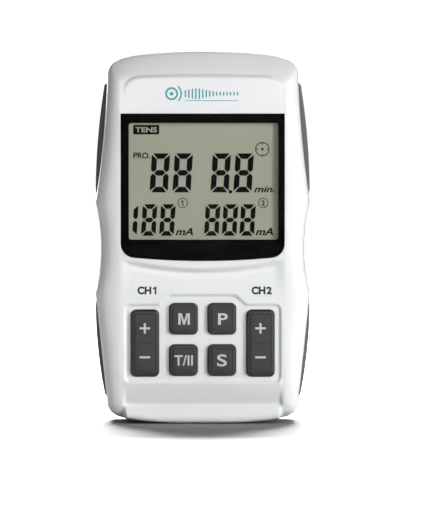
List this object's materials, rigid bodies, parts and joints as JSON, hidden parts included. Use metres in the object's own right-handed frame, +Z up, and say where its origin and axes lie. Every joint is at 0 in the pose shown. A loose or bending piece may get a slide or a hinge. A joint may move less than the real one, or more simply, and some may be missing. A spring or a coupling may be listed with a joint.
{
  "type": "tens unit",
  "caption": "Handheld two-channel nerve stimulator with a waisted white casing, a large display, rocker and square keys, a hinged battery door and a sprung belt clip.",
  "frame": {"origin": "middle of the flat on the lower edge, at the casing's parting line", "axes": "+X across the width, +Y from the front face to the back, +Z up along the height"},
  "size_m": [0.0694, 0.0342, 0.1205],
  "materials": {
    "case_white": "gloss",
    "grip_grey": "matte",
    "steel": "satin",
    "nickel": "satin",
    "lens_clear": "clear",
    "lens_black": "gloss",
    "lcd_glass": "clear",
    "lcd_film": "satin",
    "holder_plastic": "matte",
    "zebra_rubber": "matte",
    "mat_rubber": "matte",
    "key_grey": "satin",
    "carbon": "matte",
    "board_green": "satin",
    "gold": "satin",
    "chip_black": "matte",
    "ferrite": "matte",
    "copper": "gloss",
    "can_sleeve": "satin",
    "buzzer_black": "satin",
    "cell_label": "gloss",
    "wire_red": "satin",
    "wire_black": "satin"
  },
  "bodies": {
    "casing": {"front_shell": "case_white", "rear_shell": "case_white", "left_side_grip": "grip_grey", "right_side_grip": "grip_grey", "clip_pin": "steel", "clip_spring": "steel", "display_lens": "lens_clear", "lens_border": "lens_black", "lcd_front_glass": "lcd_glass", "lcd_segments": "lcd_film", "lcd_rear_glass": "lcd_glass", "lcd_reflector": "lcd_film", "lcd_holder": "holder_plastic", "zebra_strip_upper": "zebra_rubber", "zebra_strip_lower": "zebra_rubber", "keypad_mat": "mat_rubber", "main_pcb": "board_green", "key_contacts": "gold", "microcontroller": "chip_black", "driver_chip": "chip_black", "crystal": "steel", "boost_coil": "ferrite", "capacitors": "can_sleeve", "chip_parts": "chip_black", "transformer_core_1": "ferrite", "transformer_core_2": "ferrite", "transformer_winding_1": "copper", "transformer_winding_2": "copper", "buzzer": "buzzer_black", "output_socket_1": "buzzer_black", "output_socket_2": "buzzer_black", "socket_sleeves": "gold", "battery_cell_1": "cell_label", "battery_cell_2": "cell_label", "battery_cell_3": "cell_label", "battery_cell_4": "cell_label", "cell_springs": "nickel", "cell_plates": "nickel", "battery_wire_red": "wire_red", "battery_wire_black": "wire_black", "housing_screws": "steel", "board_screws": "steel"},
    "battery_door": {"battery_door": "case_white"},
    "belt_clip": {"belt_clip": "case_white"},
    "mode_key": {"mode_key": "key_grey", "mode_pill": "carbon"},
    "program_key": {"program_key": "key_grey", "program_pill": "carbon"},
    "timer_key": {"timer_key": "key_grey", "timer_pill": "carbon"},
    "set_key": {"set_key": "key_grey", "set_pill": "carbon"},
    "ch1_key": {"ch1_key": "key_grey", "ch1_pills": "carbon"},
    "ch2_key": {"ch2_key": "key_grey", "ch2_pills": "carbon"}
  },
  "joints": [
    {"name": "mode_press", "type": "slide", "parent": "casing", "child": "mode_key", "axis": [0, 1, 0], "range_m": [0, 0.0006], "stiffness_N_per_m": 1500, "springref_m": -0.0002},
    {"name": "program_press", "type": "slide", "parent": "casing", "child": "program_key", "axis": [0, 1, 0], "range_m": [0, 0.0006], "stiffness_N_per_m": 1500, "springref_m": -0.0002},
    {"name": "timer_press", "type": "slide", "parent": "casing", "child": "timer_key", "axis": [0, 1, 0], "range_m": [0, 0.0006], "stiffness_N_per_m": 1500, "springref_m": -0.0002},
    {"name": "set_press", "type": "slide", "parent": "casing", "child": "set_key", "axis": [0, 1, 0], "range_m": [0, 0.0006], "stiffness_N_per_m": 1500, "springref_m": -0.0002},
    {"name": "ch1_rock", "type": "hinge", "parent": "casing", "child": "ch1_key", "pos_m": [-0.0187, -0.0091, 0.0263], "axis": [1, 0, 0], "range_deg": [-3.5, 3.5], "stiffness_Nm_per_rad": 0.15},
    {"name": "ch2_rock", "type": "hinge", "parent": "casing", "child": "ch2_key", "pos_m": [0.0187, -0.0091, 0.0263], "axis": [1, 0, 0], "range_deg": [-3.5, 3.5], "stiffness_Nm_per_rad": 0.15},
    {"name": "door_swing", "type": "hinge", "parent": "casing", "child": "battery_door", "pos_m": [0, 0.0127, 0.0103], "axis": [-1, 0, 0], "range_deg": [0, 80]},
    {"name": "clip_squeeze", "type": "hinge", "parent": "casing", "child": "belt_clip", "pos_m": [0, 0.0162, 0.101], "axis": [1, 0, 0], "range_deg": [0, 18], "stiffness_Nm_per_rad": 0.06, "springref_deg": -20.05, "deforming": ["clip_spring"]}
  ]
}
